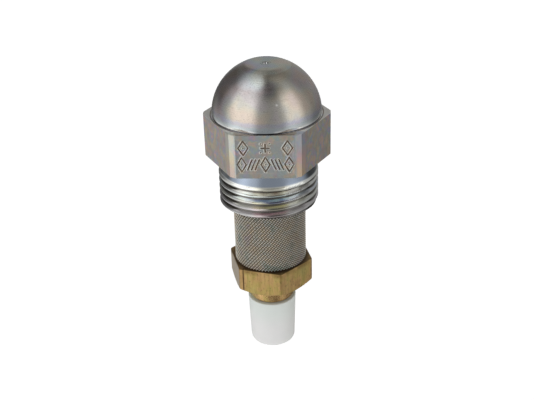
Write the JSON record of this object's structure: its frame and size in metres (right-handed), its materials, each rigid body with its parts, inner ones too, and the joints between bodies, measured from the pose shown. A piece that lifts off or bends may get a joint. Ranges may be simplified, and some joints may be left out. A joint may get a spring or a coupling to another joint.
{
  "type": "oil burner nozzle",
  "caption": "By-passing oil burner nozzle: domed hexagon body with a fine male thread, wire mesh strainer on a screwed brass stem, and a white plastic sleeve for the return line.",
  "frame": {"origin": "centre of the body's rear face, where the thread ends, on the nozzle's axis", "axes": "+Z along the axis towards the orifice; the front flat of the body's hexagon faces -Y"},
  "size_m": [0.0178, 0.0158, 0.0453],
  "materials": {
    "body_steel": "turned stainless steel with a faint coloured passivation tint",
    "hardened_steel": "lapped hardened steel",
    "seal_plastic": "matt off-white",
    "stem_brass": "dull turned brass with brown tarnish",
    "cage_brass": "pressed brass",
    "mesh_wire": "drawn wire, woven",
    "sleeve_plastic": "white, slightly waxy"
  },
  "bodies": {
    "nozzle": {"nozzle_body": "body_steel", "swirl_distributor": "hardened_steel", "retaining_screw": "hardened_steel"},
    "strainer": {"upper_end_ring": "cage_brass", "lower_end_ring": "cage_brass", "support_cage": "cage_brass", "strainer_mesh": "mesh_wire"},
    "stem": {"strainer_stem": "stem_brass", "return_seal": "seal_plastic"},
    "sleeve": {"sealing_sleeve": "sleeve_plastic"}
  },
  "joints": [
    {"name": "strainer_draw", "type": "slide", "parent": "nozzle", "child": "strainer", "axis": [0, 0, -1], "range_m": [0, 0.00487]},
    {"name": "stem_turn", "type": "hinge", "parent": "strainer", "child": "stem", "pos_m": [0, 0, 0], "axis": [0, 0, -1], "range_deg": [0, 2340]},
    {"name": "sleeve_pull", "type": "slide", "parent": "stem", "child": "sleeve", "axis": [0, 0, -1], "range_m": [0, 0.006]}
  ],
  "couplings": [
    {"joint": "stem_turn", "follows": "strainer_draw", "rad_per_m": 8377.6}
  ]
}
